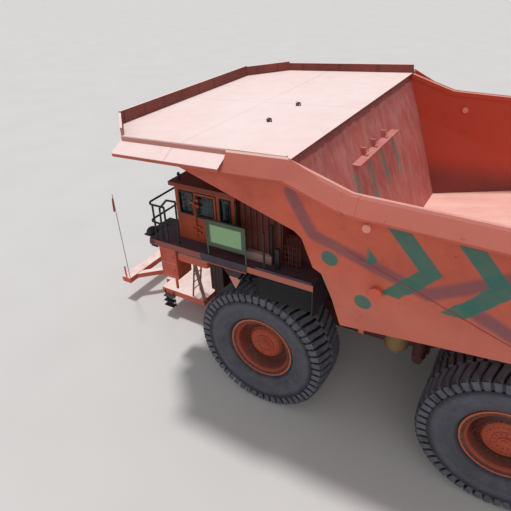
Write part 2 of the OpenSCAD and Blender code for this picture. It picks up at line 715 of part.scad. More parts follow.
module bed_underframe() {
    beam_low = frame_top + 12;
    lug_y = rail_out_y + 8;
    lug_t = 120;
    rib_x = [-2900, -4450, -5700, -6900, -8560];
    rib_out = 3780;
    // the ribs are broken at the two beams
    spans = [[-rib_out, -rail_out_y - slip], [slip - rail_in_y, rail_in_y - slip], [rail_out_y + slip, rib_out]];
    color(salmon) difference() {
        union() {
            both_sides() {
                profile(rail_in_y, rail_out_y) polygon([
                    [-2800, floor_under(-2800)],
                    [-9600, floor_under(-9600)],
                    [hinge_x + 300, beam_low], [-4600, beam_low], [-2800, beam_low + 350]]);
                // hinge lugs
                profile(lug_y, lug_y + lug_t) polygon([
                    [hinge_x + 900, floor_under(hinge_x + 900) + 10],
                    [hinge_x - 400, floor_under(hinge_x - 400) + 10],
                    [hinge_x - 200, hinge_z - 40], [hinge_x - 100, hinge_z - 180],
                    [hinge_x + 100, hinge_z - 180], [hinge_x + 200, hinge_z - 40]]);
                // hoist ears
                for (y = [hoist_y - 180, hoist_y + 130])
                    profile(y, y + 50) polygon([
                        [hoist_head.x - 250, floor_under(hoist_head.x - 250)],
                        [hoist_head.x + 290, floor_under(hoist_head.x + 290)],
                        [hoist_head.x + 130, hoist_head.y - 130], [hoist_head.x - 130, hoist_head.y - 130]]);
            }
            // ribs across, under the floor
            for (x = rib_x, span = spans) rib(x, span);
            rib(tail + 160, [-rib_out, rib_out]);
        }
        profile(-5000, 5000) polygon([
            [-2000, floor_under(-2000)], [tail - 100, floor_under(tail - 100)],
            [tail - 100, 9000], [-2000, 9000]]);
        both_sides() outside_fold();
        both_sides() translate([hinge_x, lug_y - 1, hinge_z]) rotate([-90, 0, 0])
            cylinder(r = hinge_pin_r + running_fit, h = 200);
    }
}

// Hoist cylinders, drawn along their own axis from the foot pin
hoist_len = norm(hoist_head - hoist_foot);
hoist_turn = atan2(hoist_head.y - hoist_foot.y, hoist_head.x - hoist_foot.x);
barrel_r = 190;
stage_r = 150;
rod_r = 115;
barrel_len = hoist_len - 420;
module along_hoist(side) {
    translate([hoist_foot.x, side * hoist_y, hoist_foot.y])
        rotate([0, 90 - hoist_turn, 0])
        children();
}
module hoist_barrel(side) {
    color("orangered") along_hoist(side) difference() {
        union() {
            cylinder(r = barrel_r, h = barrel_len);
            rotate([90, 0, 0]) translate([0, 0, -190]) cylinder(r = 150, h = 380);
        }
        translate([0, 0, 170]) cylinder(r = stage_r + running_fit, h = barrel_len);
        rotate([90, 0, 0]) translate([0, 0, -200]) cylinder(r = hoist_pin_r + running_fit, h = 400);
    }
}
module hoist_stage(side) {
    color("silver") along_hoist(side) difference() {
        translate([0, 0, 180]) cylinder(r = stage_r, h = barrel_len - 180 + 60);
        translate([0, 0, 240]) cylinder(r = rod_r + running_fit, h = barrel_len);
    }
}
module hoist_rod(side) {
    color("silver") along_hoist(side) {
        translate([0, 0, 250]) cylinder(r = rod_r, h = hoist_len - 250 - 60);
        translate([0, 0, hoist_len]) rotate([90, 0, 0]) translate([0, 0, -90]) cylinder(r = 130, h = 180);
    }
}

// Steering
arm_back = 760;
arm_half_w = 90;
arm_low = -620;
arm_t = 80;
tie_drop = 100;
ball_pin_r = 40;
module knuckle(side) {
    color("silver") mirror([0, side > 0 ? 0 : 1, 0]) translate([0, kingpin_y, axle_z]) {
        translate([0, 0, arm_low]) cylinder(r = piston_r + 60, h = 350 - arm_low);
        translate([0, 0, 340]) cylinder(r = piston_r, h = 950);
        rotate([-90, 0, 0]) {
            cylinder(r = 330, h = 420);
            cylinder(r = spindle_r, h = front_wheel_y - kingpin_y + 130);
        }
        difference() {
            block([-arm_back - arm_half_w, -arm_half_w, arm_low], [0, arm_half_w, arm_low + arm_t]);
            translate([-arm_back, 0, arm_low - 20]) cylinder(r = ball_pin_r + running_fit, h = 200);
        }
    }
}
module tie_rod() {
    y = kingpin_y;
    low = axle_z + arm_low - tie_drop;
    color("silver") {
        tube([-arm_back, -y, low], [-arm_back, y, low], 90);
        both_sides() translate([-arm_back, y, low - 60]) {
            cylinder(r = 75, h = 120);
            cylinder(r = ball_pin_r, h = 60 + tie_drop + arm_t - 5);
        }
    }
}

// Wheels, drawn about their own axis with +Z outwards
seat_w = 440;
tyre_sides = 32;
function spoke(r, a) = r * [cos(a), sin(a)];
function ring(r, sides) = [for (i = [0:sides - 1]) spoke(r, 360 * i / sides)];
module disc(r, low, high) translate([0, 0, low]) linear_extrude(high - low) polygon(ring(r, tyre_sides));
// Tyre of flat faces: lugs straight across, stepped in at the shoulders and down to the bead
module tyre() {
    groove_r = tyre_r - lug_depth;
    half = tyre_w / 2;
    tread = half - 90;
    shoulder_r = 1720;
    recess_r = 1180;
    step = 360 / lug_count;
    tread_line = [for (i = [0:lug_count - 1]) each [spoke(tyre_r, i * step),
        spoke(tyre_r, (i + lug_share) * step), spoke(groove_r, (i + (1 + lug_share) / 2) * step)]];
    difference() {
        union() {
            translate([0, 0, -tread]) linear_extrude(2 * tread) polygon(tread_line);
            disc(shoulder_r, -half, half);
        }
        for (side = [0, 1]) mirror([0, 0, side]) disc(recess_r, seat_w + 1 - slip, half + 1);
        disc((rim_barrel_r + slip) / cos(180 / tyre_sides), -half, half);
    }
}
module rim(depth, hub_out, hole_r, hole_depth) {
    // section of the barrel, flanges and dished plate, as radius and outward place
    section = [[0, depth - rim_wall], [430, depth - rim_wall], [rim_barrel_r - rim_wall, 0],
        [rim_barrel_r - rim_wall, -seat_w - 60], [rim_flange_r, -seat_w - 60], [rim_flange_r, -seat_w - 10],
        [rim_barrel_r, -seat_w - 10 + 9], [rim_barrel_r, seat_w + 1], [rim_flange_r, seat_w + 10],
        [rim_flange_r, seat_w + 60], [rim_barrel_r + 60, seat_w + 60], [rim_barrel_r - 20, seat_w - 30],
        [rim_barrel_r - rim_wall - 10, 120], [460, depth], [300, depth], [270, depth + hub_out], [0, depth + hub_out]];
    difference() {
        union() {
            rotate_extrude() polygon(section);
            translate([0, 0, -hole_depth]) cylinder(r = hole_r + 120, h = hole_depth + depth - rim_wall + 10);
        }
        translate([0, 0, -hole_depth - 1]) cylinder(r = hole_r + running_fit, h = hole_depth + 130 + 8);
    }
}
module at_wheel(x, y, side) {
    translate([x, side * y, axle_z]) rotate([-side * 90, 0, 0]) children();
}
module front_tyre(side) color(dark) at_wheel(0, front_wheel_y, side) tyre();
module front_rim(side) color("orangered") at_wheel(0, front_wheel_y, side) rim(190, 90, spindle_r, 180);
module rear_tyres(side) color(dark) for (y = [rear_inner_y, rear_outer_y]) at_wheel(rear_axle, y, side) tyre();
module rear_rims(side) {
    color("orangered") {
        at_wheel(rear_axle, rear_outer_y, side) difference() {
            rim(330, 60, rear_spindle_r, 10);
            translate([0, 0, -2000]) cylinder(r = motor_r + 30, h = 2000);
        }
        // inner rim, joined to the outer one by a spacer band
        at_wheel(rear_axle, rear_inner_y, side) rotate_extrude() polygon([
            [rim_barrel_r - rim_wall, -seat_w - 60], [rim_flange_r, -seat_w - 60], [rim_flange_r, -seat_w - 10],
            [rim_barrel_r, -seat_w - 1], [rim_barrel_r, seat_w + 1], [rim_flange_r, seat_w + 10],
            [rim_flange_r, seat_w + 60], [rim_barrel_r + 10, seat_w + 60],
            [rim_barrel_r + 10, rear_outer_y - rear_inner_y - seat_w - 55],
            [rim_barrel_r - rim_wall, rear_outer_y - rear_inner_y - seat_w - 55]]);
    }
}

place() frame();
place() front_bumper();
place() boarding_ladders();
place() deck();
place() handrails();
place() cab_walls();
place() cab_roof();
place() cab_glass();
place() cab_door();
place() cab_door_glass();
place() cab_seat();
place() cab_console();
place() engine_block();
place() radiator();
place() control_cabinet();
place() grid_box();
place() corner_boxes();
place() tanks();
place() rear_axle();
place() struts();
place() headlamps();
place() whip_pole();
place() whip_flag();
place() bed_floor();
place() bed_front_wall();
place() bed_sides();
place() bed_canopy();
place() bed_underframe();
place() hoist_barrel(1);  // left_hoist_barrel
place() hoist_stage(1);  // left_hoist_stage
place() hoist_rod(1);  // left_hoist_rod
place() hoist_barrel(-1);  // right_hoist_barrel
place() hoist_stage(-1);  // right_hoist_stage
place() hoist_rod(-1);  // right_hoist_rod
place() knuckle(1);  // left_knuckle
place() knuckle(-1);  // right_knuckle
place() tie_rod();
place() front_tyre(1);  // front_left_tyre
place() front_rim(1);  // front_left_rim
place() front_tyre(-1);  // front_right_tyre
place() front_rim(-1);  // front_right_rim
place() rear_tyres(1);  // rear_left_tyres
place() rear_rims(1);  // rear_left_rims
place() rear_tyres(-1);  // rear_right_tyres
place() rear_rims(-1);  // rear_right_rims
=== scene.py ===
"""Looks of a rigid mining dump truck, dressed over its CAD model.

Metres, +X ahead, +Y the cab side, +Z up. Places along the truck are written ahead of the front
axle, as in the part's source, and ax() moves them to the model's frame.
"""
import math

import bmesh
import bpy
from mathutils import Matrix, Vector


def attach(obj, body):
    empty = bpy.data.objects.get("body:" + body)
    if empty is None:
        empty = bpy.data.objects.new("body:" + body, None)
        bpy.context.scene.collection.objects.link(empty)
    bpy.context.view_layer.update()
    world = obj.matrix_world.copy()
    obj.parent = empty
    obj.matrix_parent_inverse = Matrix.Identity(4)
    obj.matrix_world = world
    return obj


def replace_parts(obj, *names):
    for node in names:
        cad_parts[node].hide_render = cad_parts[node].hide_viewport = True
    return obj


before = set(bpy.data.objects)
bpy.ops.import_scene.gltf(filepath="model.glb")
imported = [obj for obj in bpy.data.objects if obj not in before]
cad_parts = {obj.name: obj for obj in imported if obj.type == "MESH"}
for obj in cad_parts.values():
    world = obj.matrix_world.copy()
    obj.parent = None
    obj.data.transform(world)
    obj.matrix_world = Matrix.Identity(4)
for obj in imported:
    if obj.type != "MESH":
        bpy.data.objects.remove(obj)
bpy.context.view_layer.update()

# measures of the CAD model, as in the part's source
FRONT_AXLE_X = 1.775
AXLE_Z = 1.965
REAR_AXLE = -6.35
TYRE_R = 1.965
FRONT_WHEEL_Y = 3.02
REAR_WHEEL_YS = (1.76, 3.18)
DECK_TOP = 4.8
DECK_FRONT = 3.39
DECK_HALF = 3.745
BED_HALF = 4.4
BED_WALL = 0.1


def ax(x, y, z):
    """A point given ahead of the front axle, in the model's frame."""
    return Vector((x + FRONT_AXLE_X, y, z))


def canopy_z(x):
    """Height of the canopy's floor."""
    return 7.786 + (4.316 - x) * 0.04522


def fold_z(x):
    """Height of the fold along the bed's sides."""
    return 7.85 + (x - 1.52) * 0.352


def rail_z(x):
    """Height of the bed's top edge behind the canopy, before and after its bend."""
    return 8.018 - (-1.332 - x) * 0.3148 if x > -2.66 else 7.6 + (x + 2.66) * 0.0245


def wall_x(z):
    """Place of the leaning front wall's inner face."""
    return -1.23 + (z - 7.95) * 0.3703


# Shader tools
def colour(code):
    """An sRGB hex colour as linear RGBA."""
    parts = [int(code[i : i + 2], 16) / 255 for i in (1, 3, 5)]
    return (*[c / 12.92 if c < 0.04045 else ((c + 0.055) / 1.055) ** 2.4 for c in parts], 1.0)


class Value:
    """A socket that takes part in sums."""

    def __init__(self, shader, socket):
        self.shader = shader
        self.socket = socket

    def sum(self, operation, *others):
        node = self.shader.node("ShaderNodeMath", {"operation": operation}, dict(enumerate(others)))
        return Value(self.shader, node.outputs[0])

    def __add__(self, other):
        return self.sum("ADD", self, other)

    __radd__ = __add__

    def __mul__(self, other):
        return self.sum("MULTIPLY", self, other)

    __rmul__ = __mul__

    def __sub__(self, other):
        return self.sum("SUBTRACT", self, other)

    def __rsub__(self, other):
        return self.sum("SUBTRACT", other, self)

    def __truediv__(self, other):
        return self.sum("DIVIDE", self, other)

    def __lt__(self, other):
        return self.sum("LESS_THAN", self, other)

    def __abs__(self):
        return self.sum("ABSOLUTE", self)

    def most(self, other):
        return self.sum("MAXIMUM", self, other)

    def least(self, other):
        return self.sum("MINIMUM", self, other)

    def root(self):
        return self.sum("SQRT", self)

    def sine(self):
        return self.sum("SINE", self)

    def fold(self, size):
        """Distance to the nearest multiple of twice the size."""
        return self.sum("PINGPONG", self, size)

    def step(self, low, high):
        """0 below low, 1 above high, smooth between."""
        settings = {"interpolation_type": "SMOOTHSTEP"}
        inputs = {"Value": self, "From Min": low, "From Max": high}
        return Value(self.shader, self.shader.node("ShaderNodeMapRange", settings, inputs).outputs["Result"])

    def fade(self, low, high):
        """1 below low, 0 above high, smooth between."""
        return 1.0 - self.step(low, high)

    def between(self, rise, fall):
        """1 from the end of the rise to the start of the fall, 0 outside the two."""
        return self.step(*rise) * self.fade(*fall)


class Shader:
    """A material with one Principled shader, and the patterns that feed it."""

    def __init__(self, name):
        self.material = bpy.data.materials.new(name)
        self.material.use_nodes = True
        self.tree = self.material.node_tree
        self.tree.nodes.clear()
        self.surface = self.node("ShaderNodeBsdfPrincipled", {}, {})
        self.node("ShaderNodeOutputMaterial", {}, {"Surface": self.surface.outputs[0]})
        self.place = self.node("ShaderNodeTexCoord", {}, {}).outputs
        self.x, self.y, self.z = self.split(self.place["Object"])
        self.nx, self.ny, self.nz = self.split(self.place["Normal"])

    def feed(self, made, inputs):
        """Links or sets the inputs of a node."""
        for key, value in inputs.items():
            value = value.socket if isinstance(value, Value) else value
            if isinstance(value, bpy.types.NodeSocket):
                self.tree.links.new(value, made.inputs[key])
            else:
                made.inputs[key].default_value = value

    def node(self, kind, settings, inputs):
        made = self.tree.nodes.new(kind)
        for key, value in settings.items():
            setattr(made, key, value)
        self.feed(made, inputs)
        return made

    def split(self, socket):
        made = self.node("ShaderNodeSeparateXYZ", {}, {0: socket})
        return [Value(self, s) for s in made.outputs]

    def noise(self, scale, detail, stretch=None, rough=0.5):
        place = self.place["Object"]
        if stretch is not None:
            place = self.node("ShaderNodeMapping", {}, {"Vector": place, "Scale": stretch}).outputs[0]
        inputs = {"Vector": place, "Scale": scale, "Detail": detail, "Roughness": rough}
        return Value(self, self.node("ShaderNodeTexNoise", {}, inputs).outputs[0])

    def mix(self, factor, a, b):
        made = self.node("ShaderNodeMix", {"data_type": "RGBA"}, {0: factor, 6: a, 7: b})
        return made.outputs[2]

    def tint(self, mask, tone, code):
        """The tone, with a colour laid over it where the mask says so."""
        return self.mix(mask, tone, colour(code))

    def finish(self, base, rough, relief=None, metallic=0.0, alpha=1.0):
        """Feeds the surface. A relief is its pattern, its height in metres and its strength."""
        inputs = {"Base Color": base, "Roughness": rough, "Metallic": metallic, "Alpha": alpha}
        if relief is not None:
            bump = dict(zip(("Height", "Distance", "Strength"), relief))
            inputs["Normal"] = self.node("ShaderNodeBump", {}, bump).outputs[0]
        self.feed(self.surface, inputs)
        return self.material


def union(masks):
    """The strongest of some masks."""
    whole = masks[0]
    for mask in masks[1:]:
        whole = whole.most(mask)
    return whole


def length(u, v):
    return (u * u + v * v).root()


def near_line(s, a, b, width, soft):
    """Mask of a band between two points of the side view, given ahead of the front axle."""
    run_x, run_z = b[0] - a[0], b[1] - a[1]
    off_x, off_z = s.x - (a[0] + FRONT_AXLE_X), s.z - a[1]
    along = ((off_x * run_x + off_z * run_z) / (run_x**2 + run_z**2)).most(0.0).least(1.0)
    return length(off_x - along * run_x, off_z - along * run_z).fade(width / 2, width / 2 + soft)


def spot(s, x, z, radius):
    """Mask of a round spot of the side view."""
    return length(s.x - (x + FRONT_AXLE_X), s.z - z).fade(radius, radius + 0.05)


def wheel_polar(s):
    """Distance from the nearer axle, and how squarely the surface faces away from it."""
    across = s.x - FRONT_AXLE_X - (s.x < FRONT_AXLE_X + REAR_AXLE / 2) * REAR_AXLE
    up = s.z - AXLE_Z
    radius = length(across, up)
    return radius, (s.nx * across + s.nz * up) / radius


LOOKS_UP = (0.12, 0.8)


def paint(name, base, dark, top_tone, fade=0.9, dust=0.15, marks=None, inner=None, tilt=LOOKS_UP, chips=0.55,
          mottle=0.35):
    """Weathered enamel: streaked on its sides, with chips and stains, and with its top tone where it looks
    up: fading and dust, and, where that tone is the paler one, painted sunlight.

    fade, dust, chips and mottle are strengths, and tilt is the range of upward normals that take the top
    tone.
    inner changes the tone before the top tone and marks after it.
    """
    s = Shader(name)
    cloud = s.noise(0.6, 2.0)
    patch = s.noise(2.3, 4.0, rough=0.62)
    streak = s.noise(5.0, 2.0, (1.0, 1.0, 0.12), 0.6)
    tone = s.tint(cloud.step(0.3, 0.72) * 0.55 + patch.step(0.35, 0.75) * 0.3, colour(base), dark)
    tone = s.tint(streak.step(0.55, 0.8) * (1.0 - abs(s.nz)) * 0.35, tone, dark)
    if inner is not None:
        tone = inner(s, tone)
    # Faces that look up take the top tone: fading and dust, and, where the top tone is paler than the base,
    # painted sunlight on the tops as well.
    top = (s.nz + (patch - 0.5) * 0.3).step(*tilt)
    tone = s.mix(top * fade, tone, s.tint(patch.step(0.3, 0.8) * mottle, colour(top_tone), base))
    grime = s.noise(9.0, 4.0, rough=0.7)
    tone = s.tint(grime.step(0.56, 0.78) * dust, tone, "#8d7c72")
    if marks is not None:
        tone = marks(s, tone)
    tone = s.tint((grime * patch).step(0.4, 0.44) * chips, tone, "#4d2c24")
    return s.finish(tone, 0.52 + patch * 0.22 + top * 0.12, (patch * 0.6 + grime * 0.08, 0.03, 0.3))


SALMON, SALMON_DARK, SALMON_TOP = "#cc5d43", "#a94733", "#eebfb2"

# Marks of the paints. s.x, s.y and s.z are places in the model's frame, and the two tables below
# are points of the side view, ahead of the front axle.
GREY_BANDS = (
    ((-1.37, 7.41), (-1.89, 6.56)), ((-1.89, 6.56), (-4.3, 5.86)),
    ((-4.3, 5.86), (-5.6, 6.6)), ((-5.08, 5.8), (-7.0, 4.95)),
)
SPRAYED_SPOTS = ((-2.25, 6.05), (-3.0, 5.1), (-7.7, 6.5))


def bed_marks(s, tone):
    """Faint grey bands, pale edges, and plain sprayed chevrons and spots of our own layout."""
    side = s.ny.step(0.6, 0.9) * s.y.step(2.0, 3.0)
    ragged = s.noise(4.0, 3.0)
    tone = s.tint(s.nz.between((0.3, 0.5), (0.85, 0.95)) * 0.6, tone, "#b3695e")
    tone = s.tint(side * s.z.fade(4.8, 6.4) * 0.4, tone, "#cf7d6c")
    tone = s.tint(s.nz.step(0.85, 0.95) * abs(s.y).step(4.315, 4.325), tone, "#b4685a")
    worn = union([near_line(s, a, b, 0.16, 0.12) for a, b in GREY_BANDS])
    tone = s.tint(side * worn * (0.55 + ragged * 0.35), tone, "#6f4650")
    rim = abs(s.y).between((4.415, 4.42), (4.446, 4.45)) * s.x.step(0.4, 0.44) * s.z.step(7.9, 7.95)
    tone = s.tint(rim, tone, "#f0c4b8")
    rise = abs(s.z - 6.35 + (ragged - 0.5) * 0.1)
    nose = (s.x - rise * 0.9 + ragged * 0.08).fold(0.62)
    chevrons = nose.fade(0.2, 0.25) * rise.fade(0.8, 0.85) * s.x.between((-5.3, -5.2), (-1.35, -1.25))
    sprayed = union([chevrons] + [spot(s, x, z, 0.17) for x, z in SPRAYED_SPOTS])
    return s.tint(side * sprayed * (0.82 + ragged * 0.15), tone, "#10695c")


def boss_marks(s, tone):
    """The low boss has the side's own colour, the high ones are pale."""
    return s.tint(s.z.fade(6.0, 6.1), tone, SALMON)


def bed_inner(s, tone):
    """Painted shade: the sides' inner faces are clean, and painted a deep red that darkens towards the
    floor, as in the shade of the rails.
    """
    inside = (s.ny * s.y * -1.0).step(0.6, 1.6)
    return s.mix(inside * 0.85, tone, s.mix(s.z.step(4.7, 5.7), colour("#6c2b27"), colour("#b83c22")))


def wall_marks(s, tone):
    """Scoured plate with painted shadow along its top edge, under the canopy's edge, and thin worn sprayed
    bars on its inner face.
    """
    ragged = s.noise(5.0, 5.0, rough=0.65)
    scour = s.noise(1.6, 5.0, (1.0, 2.5, 1.0), 0.65)
    tone = s.tint(scour.step(0.35, 0.7) * 0.6, tone, "#c48e88")
    # painted shadow of the canopy's edge along the wall's top
    tone = s.tint((s.z + ragged * 0.2).step(7.88, 7.93) * 0.7, tone, "#6e3734")
    bars = union([abs(s.y - y + (ragged - 0.5) * 0.12).fade(0.1, 0.2) for y in (-1.5, -0.5, 0.5, 1.5)])
    spray = bars * s.z.between((5.7, 5.9), (6.7, 6.9)) * (s.nx * -1.0).step(0.5, 0.8)
    return s.tint(spray * ragged.step(0.3, 0.6) * 0.8, tone, "#4f8a7c")


def scoured_floor(s, tone):
    scour = s.noise(1.1, 5.0, (0.4, 2.0, 1.0), 0.6)
    return s.tint(scour.step(0.35, 0.75) * 0.6, tone, "#fbd3c6")


def canopy_marks(s, tone):
    """Pale dust and plate joints on the canopy's floor, dark rib lines of painted shade inside its curbs, a
    pale lip outside.
    """
    top = s.nz.step(0.6, 0.9)
    outside = (s.ny * s.y.step(4.0, 4.1)).step(0.6, 0.9)
    above = s.z - canopy_z(s.x - FRONT_AXLE_X)
    tone = s.mix(outside, tone, s.mix(above.step(0.085, 0.095), colour("#bd8076"), colour("#f0c8bd")))
    curbs = s.nz.fade(0.3, 0.5) * above.step(0.0, 0.02) * (1.0 - outside)
    # painted shade: thin dark lines across the curbs' inner faces, where the ribs shade the plate
    ribs = (s.y + s.x * 0.6).fold(0.42).fade(0.02, 0.07)
    tone = s.tint(curbs * ribs * 0.5, tone, "#4a211c")
    joints = union([abs(place).fade(0.012, 0.03) for place in (s.x - (1.6 + FRONT_AXLE_X), s.y - 0.2)])
    tone = s.tint(joints * top * 0.3, tone, "#b98a84")
    wide = s.noise(0.35, 3.0, (1.0, 0.6, 1.0)).step(0.45, 0.7)
    return s.tint(top * wide * 0.5, tone, "#f3e3df")


def deck_marks(s, tone):
    """The deck's outer edges and the gusset under them are salmon, its plates dark."""
    reach = abs(s.y).most(s.x - (DECK_FRONT + FRONT_AXLE_X - DECK_HALF))
    edge = abs(s.ny).most(s.nx).step(0.6, 0.9) * reach.step(DECK_HALF - 0.002, DECK_HALF + 0.002)
    beam = edge * s.z.between((4.61, 4.62), (4.79, DECK_TOP)) * (1.0 - s.x.step(4.9, 5.1) * 0.8)
    tone = s.mix(beam * 0.95, tone, s.mix(s.x.step(1.9, 2.0), colour("#b26350"), colour("#8f4a3c")))
    gusset = edge * s.z.between((4.1, 4.15), (4.6, 4.61)) * s.x.step(1.8, 1.9)
    return s.mix(gusset, tone, s.mix(s.z.step(4.36, 4.38), colour("#cf8c7e"), colour("#341d1c")))


def radiator_marks(s, tone):
    """Dark upright pipes on the sides of the cooling pack, with painted shade in the gaps between them."""
    gap = s.x.fold(0.065).step(0.02, 0.03) * abs(s.ny).step(0.6, 0.9)
    return s.tint(gap * 0.7, tone, "#1c1010")


def tank_marks(s, tone):
    """The round receiver on the left is ochre."""
    return s.tint(s.y.step(0.9, 1.0), tone, "#8f7048")


def rim_marks(s, tone):
    """Dust and painted shade in rings round the two axles, with a bright ring on the flange."""
    radius = wheel_polar(s)[0]
    wear = s.noise(5.0, 4.0, rough=0.65)
    # painted shade: the recessed dish between the hub and the flange, and a ring just inside the flange, are
    # darkened
    dish = radius.between((0.49, 0.52), (0.7, 0.84))
    tone = s.tint(dish * (0.6 + wear * 0.35), tone, "#3c1c18")
    tone = s.tint(dish * s.nz.step(0.2, 0.7) * (0.3 + wear * 0.5), tone, "#564644")
    tone = s.tint(radius.step(0.925, 0.935) * 0.6, tone, "#c8704f")
    tone = s.tint(radius.between((0.83, 0.845), (0.905, 0.92)) * 0.8, tone, "#3c2522")
    return s.tint(wear.step(0.5, 0.7) * 0.45, tone, "#7a5a4c")


def ladder_marks(s, tone):
    """Dusty brown above the bumper, bare dark steps below it."""
    return s.tint(s.z.step(1.0, 1.1), tone, "#7a4c44")


# Other materials
def rubber(name):
    """Worn rubber: dusty side walls and shoulders, and painted shade on the floors of the grooves between
    the bars.
    """
    s = Shader(name)
    radius, facing = wheel_polar(s)
    dust = s.noise(3.0, 5.0, rough=0.6)
    fine = s.noise(60.0, 2.0)
    tone = s.tint(dust.step(0.35, 0.75) * 0.5, colour("#2f3039"), "#52525a")
    tone = s.tint(s.noise(11.0, 4.0).step(0.55, 0.75) * 0.3, tone, "#68645f")
    wall = radius.between((1.0, 1.08), (1.5, 1.6)) * abs(s.ny).step(0.5, 0.8)
    tone = s.tint(wall * (0.15 + dust * 0.4), tone, "#676871")
    tone = s.tint(radius.step(1.62, 1.7) * dust.step(0.2, 0.55) * 0.6, tone, "#6d6c76")
    tone = s.tint(abs(radius - 1.45).fade(0.03, 0.1) * 0.25, tone, "#5f5f68")
    # painted shade: the floors of the grooves between the bars are near black
    tone = s.tint(facing.step(0.5, 0.8) * radius.fade(1.885, 1.91), tone, "#131317")
    tone = s.tint(abs(radius - 1.615).fade(0.012, 0.03) * 0.5, tone, "#1c1c21")
    return s.finish(tone, 0.78 + fine * 0.12, (fine * 0.3 + dust, 0.006, 0.5))


def metal(name, base, dark, metallic, rough):
    s = Shader(name)
    wear = s.noise(6.0, 4.0, rough=0.6)
    tone = s.tint(wear.step(0.35, 0.75) * 0.7, colour(base), dark)
    return s.finish(tone, rough + wear * 0.2, (s.noise(30.0, 3.0), 0.004, 0.3), metallic)


def glass(name):
    s = Shader(name)
    smear = s.noise(3.0, 4.0)
    tone = s.tint(smear.step(0.45, 0.75) * 0.35, colour("#1d262c"), "#5c6460")
    return s.finish(tone, 0.08 + smear * 0.14, alpha=0.62)


def cloth(name, base, dark):
    s = Shader(name)
    weave = (s.z * 400.0).sine() * 0.5 + s.noise(90.0, 2.0)
    tone = s.tint(s.noise(12.0, 4.0).step(0.35, 0.7), colour(base), dark)
    return s.finish(tone, 0.85, (weave, 0.002, 0.4))


body_paint = paint("body_enamel", SALMON, SALMON_DARK, SALMON_TOP)
side_paint = paint(
    "bed_side_enamel", SALMON, SALMON_DARK, "#e3a89c", 0.9, 0.12, bed_marks, bed_inner, (0.62, 0.95), 0.5
)
wall_paint = paint("bed_wall_enamel", "#c05f55", "#a04c4a", SALMON_TOP, 0.2, 0.2, wall_marks)
floor_paint = paint(
    "bed_floor_enamel", "#e0a494", "#cf8676", "#f5bdae", 0.8, 0.05, scoured_floor, chips=0.2
)
# Painted light and shade: the canopy's upward faces take a near-white top tone, dust with painted sunlight,
# and its other faces a dark red-brown, painted shade.
canopy_paint = paint(
    "canopy_enamel", "#80382b", "#642a22", "#f2d8d3", 1.0, 0.05, canopy_marks, tilt=(0.3, 0.8), chips=0.1,
    mottle=0.08
)
cab_paint = paint("cab_enamel", "#a8441f", "#74301c", "#8a3e2b", 0.5, 0.2)
roof_paint = paint("cab_roof_enamel", "#83351f", "#5c281c", "#743628", 0.5, 0.25)
door_frame_paint = paint("door_frame_enamel", "#b4583a", "#8a3f2a", "#b4583a", 0.3, 0.2)
deck_paint = paint("deck_enamel", "#302029", "#1e171d", "#563a46", 0.85, 0.12, deck_marks)
plate_paint = paint("walkway_plate_enamel", "#463544", "#2e2431", "#5f4a5c", 0.5, 0.2)
case_paint = paint("case_enamel", "#a58078", "#7f605c", "#c9a9a0", 0.7, 0.3)
tip_paint = paint("gusset_tip_enamel", "#cf8c7e", "#b06e60", "#e0a89c", 0.5, 0.2)
ladder_paint = paint("ladder_enamel", "#26232a", "#1b181f", "#3a343d", 0.4, 0.2, ladder_marks)
# painted shade: the cabinet, the grid box and the guarded pipes are painted darker, as in the canopy's
# shadow
cabinet_paint = paint("cabinet_enamel", "#682b1f", "#451d18", "#60332a", 0.4, 0.25)
pipe_paint = paint("pipe_enamel", "#5c2824", "#3c1d1c", "#6a3630", 0.3, 0.35)
bumper_paint = paint("bumper_enamel", SALMON, SALMON_DARK, "#f6e2da", 0.95, 0.1)
strut_paint = paint("deck_strut_enamel", "#a5786a", "#7d5850", "#c39a8c", 0.5, 0.3)
# Painted shade: the tank and the parts under the body (frame, rear axle, knuckles, hoist barrels, tie rod)
# are painted a dark red-brown, as in the body's shadow.
tank_paint = paint("tank_enamel", "#6c3a34", "#3f2826", "#94584c", 0.6, 0.3, tank_marks)
underbody_shade_paint = paint("underbody_shade_enamel", "#6c3a34", "#3f2826", "#94584c", 0.6, 0.3)
radiator_paint = paint("radiator_enamel", "#4d2a25", "#291817", "#6a4037", 0.5, 0.3, radiator_marks)
rail_paint = paint("rail_enamel", "#1c1a20", "#121116", "#2f2b32", 0.6, 0.1)
rim_paint = paint("rim_enamel", "#ad4526", "#80331f", "#b0563a", 0.4, 0.3, rim_marks)
boss_paint = paint("boss_enamel", "#e39a84", "#c9755f", "#f0bdac", 0.6, 0.1, boss_marks)
weld_paint = paint("weld_enamel", SALMON_DARK, "#8a4038", SALMON_DARK)
board_green = paint("board_enamel", "#4f5f4c", "#3f4d3d", "#66755f", 0.3, 0.2)
panel_green = paint("panel_enamel", "#8fb184", "#7da074", "#a3c197", 0.2, 0.1)
lamp_paint = paint("lamp_enamel", "#86564a", "#5d3a34", "#a8786a", 0.5, 0.2)
lamp_grey = metal("lamp_housing", "#2a2a2e", "#18181b", 0.3, 0.5)
# painted shade: black for the sheets that stand in for the deck's shadow over the front wheels
deck_shade_black = metal("deck_shade_enamel", "#08080b", "#101218", 0.0, 0.75)
bare_steel = metal("bare_steel", "#8f9094", "#5c5a58", 0.9, 0.35)
rod_chrome = metal("polished_rod", "#c2c5c8", "#94969a", 1.0, 0.12)
engine_iron = metal("engine_iron", "#4a4340", "#2a2624", 0.5, 0.6)
cab_plastic = metal("cab_plastic", "#2b2b2f", "#1d1d20", 0.0, 0.6)
pole_plastic = metal("pole_plastic", "#9a938a", "#5f5a55", 0.0, 0.5)
tyre_rubber = rubber("tyre_rubber")
window_glass = glass("window_glass")
seat_cloth = cloth("seat_cloth", "#26262a", "#141417")
flag_cloth = cloth("flag_cloth", "#d95a2a", "#a83c20")

